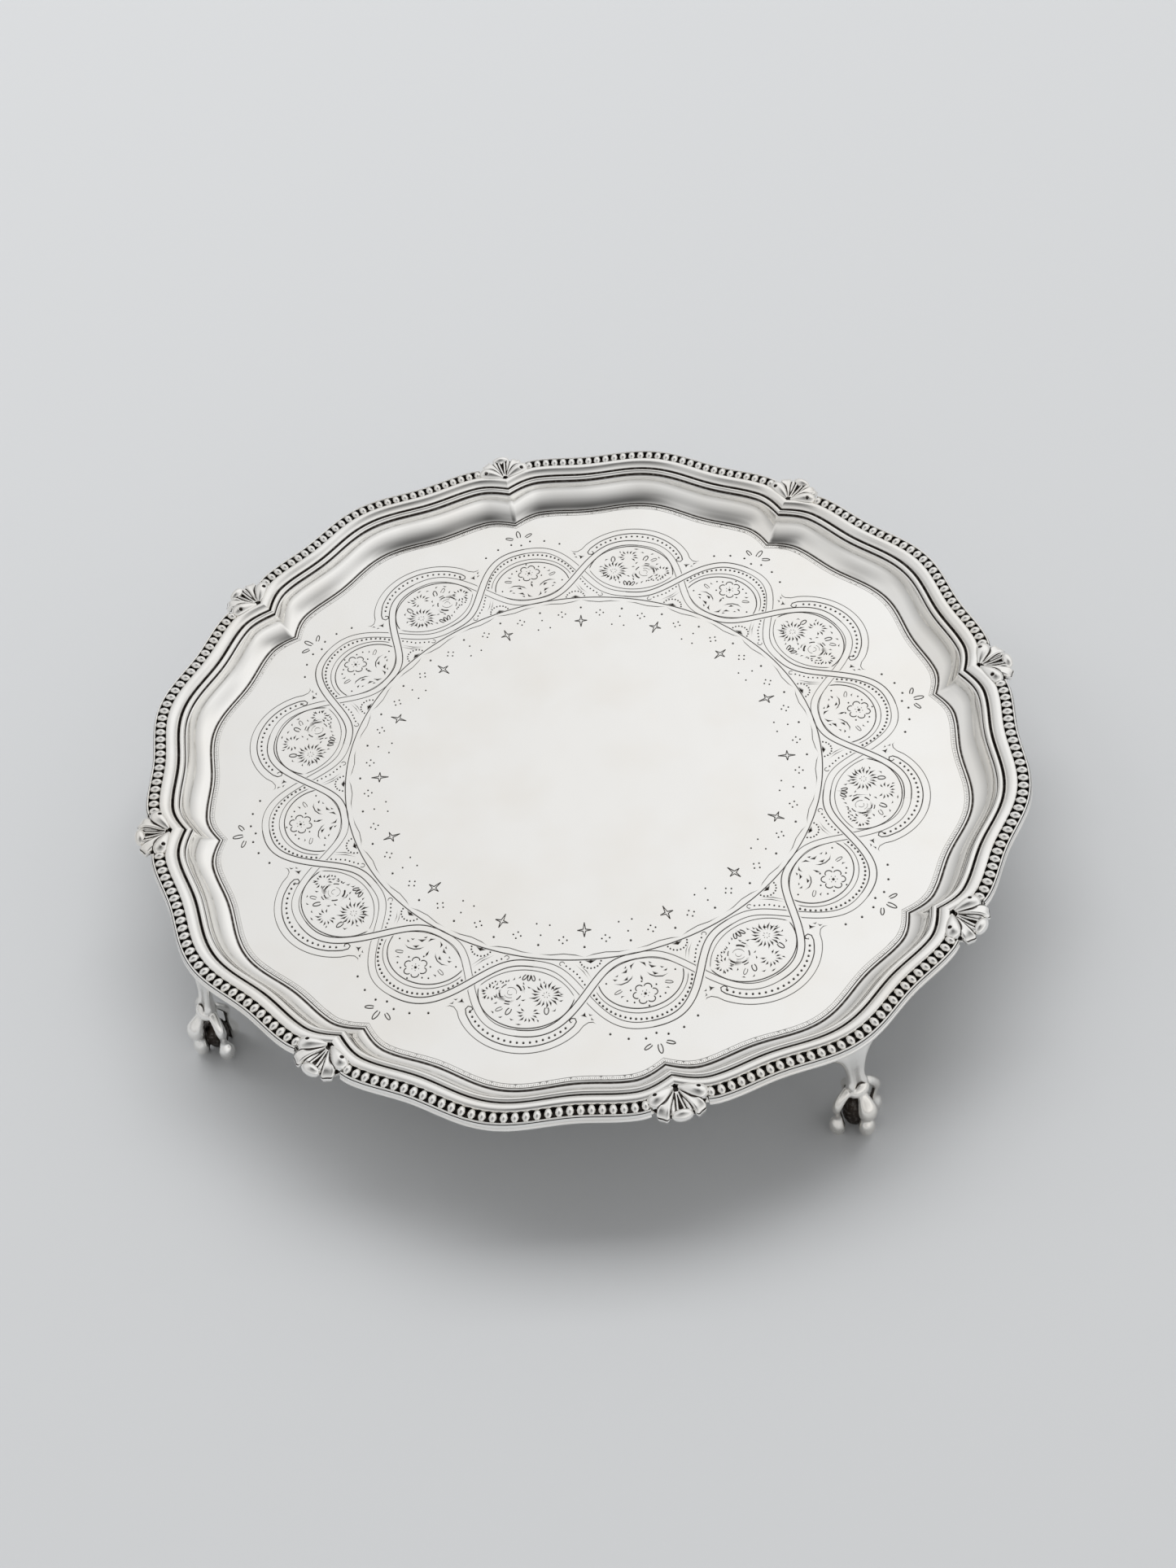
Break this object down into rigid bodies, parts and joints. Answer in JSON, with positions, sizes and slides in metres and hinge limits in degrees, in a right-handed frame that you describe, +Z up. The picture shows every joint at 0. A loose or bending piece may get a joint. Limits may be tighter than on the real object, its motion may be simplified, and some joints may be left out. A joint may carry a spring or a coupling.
{
  "type": "footed salver",
  "caption": "Round footed silver salver with a scalloped beaded border, leaf mounts, an engraved field and claw-and-ball feet.",
  "frame": {"origin": "centre of the tray in plan, on the surface that it stands on", "axes": "+Z up, square to the field; +X through the middle of one leaf mount"},
  "size_m": [0.254, 0.254, 0.0389],
  "materials": {
    "plate": "polished silver with engraved lines and fine wear scratches",
    "border": "polished silver, dark oxide in the bead groove",
    "leaf": "polished cast silver, dark oxide between the petals",
    "foot": "polished cast silver, dark oxide between the claws"
  },
  "bodies": {
    "root": {"tray_plate": "plate", "border_1": "border", "border_2": "border", "border_3": "border", "border_4": "border", "border_5": "border", "border_6": "border", "border_7": "border", "border_8": "border", "leaf_mount_1": "leaf", "leaf_mount_2": "leaf", "leaf_mount_3": "leaf", "leaf_mount_4": "leaf", "leaf_mount_5": "leaf", "leaf_mount_6": "leaf", "leaf_mount_7": "leaf", "leaf_mount_8": "leaf", "claw_foot_1": "foot", "claw_foot_2": "foot", "claw_foot_3": "foot", "claw_foot_4": "foot"}
  },
  "joints": []
}
